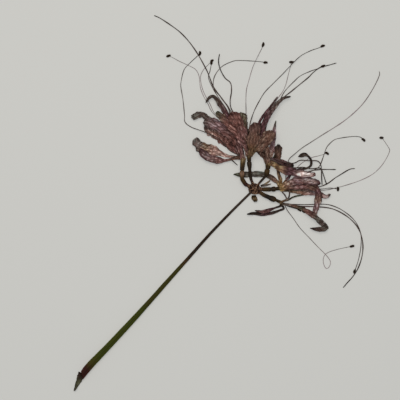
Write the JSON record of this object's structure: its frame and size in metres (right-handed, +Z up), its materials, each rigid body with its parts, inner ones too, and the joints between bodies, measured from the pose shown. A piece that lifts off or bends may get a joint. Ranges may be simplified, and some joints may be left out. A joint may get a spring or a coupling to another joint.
{
  "type": "red spider lily",
  "caption": "Dried, pressed red spider lily: a bare scape with an umbel of curled, narrow-tepalled florets and long arching stamens, lying flat.",
  "frame": {"origin": "centre of the footprint, on the surface that the flower lies on", "axes": "+Z up from the surface, +Y the way the longest stamens point, +X towards the side where the umbel leans"},
  "size_m": [0.1898, 0.2255, 0.0107],
  "materials": {
    "scape": "dull, finely ribbed, olive green to near black",
    "ovary": "dull, wrinkled, dark olive brown",
    "tepal": "papery, crinkled, purple brown",
    "stamen": "dull, dark brown grey, anthers near black",
    "bract": "dry, papery, olive brown"
  },
  "bodies": {
    "root": {"scape": "scape", "spathe_bract_stub": "bract", "spathe_bract_split": "bract", "pedicel_a": "ovary", "pedicel_b": "ovary", "pedicel_c": "ovary", "pedicel_d": "ovary", "pedicel_e": "ovary", "perianth_a": "tepal", "perianth_b": "tepal", "perianth_c": "tepal", "perianth_d": "tepal", "perianth_e": "tepal", "stamens_a": "stamen", "stamens_b": "stamen", "stamens_c": "stamen", "stamens_d": "stamen", "stamens_e": "stamen"}
  },
  "joints": []
}
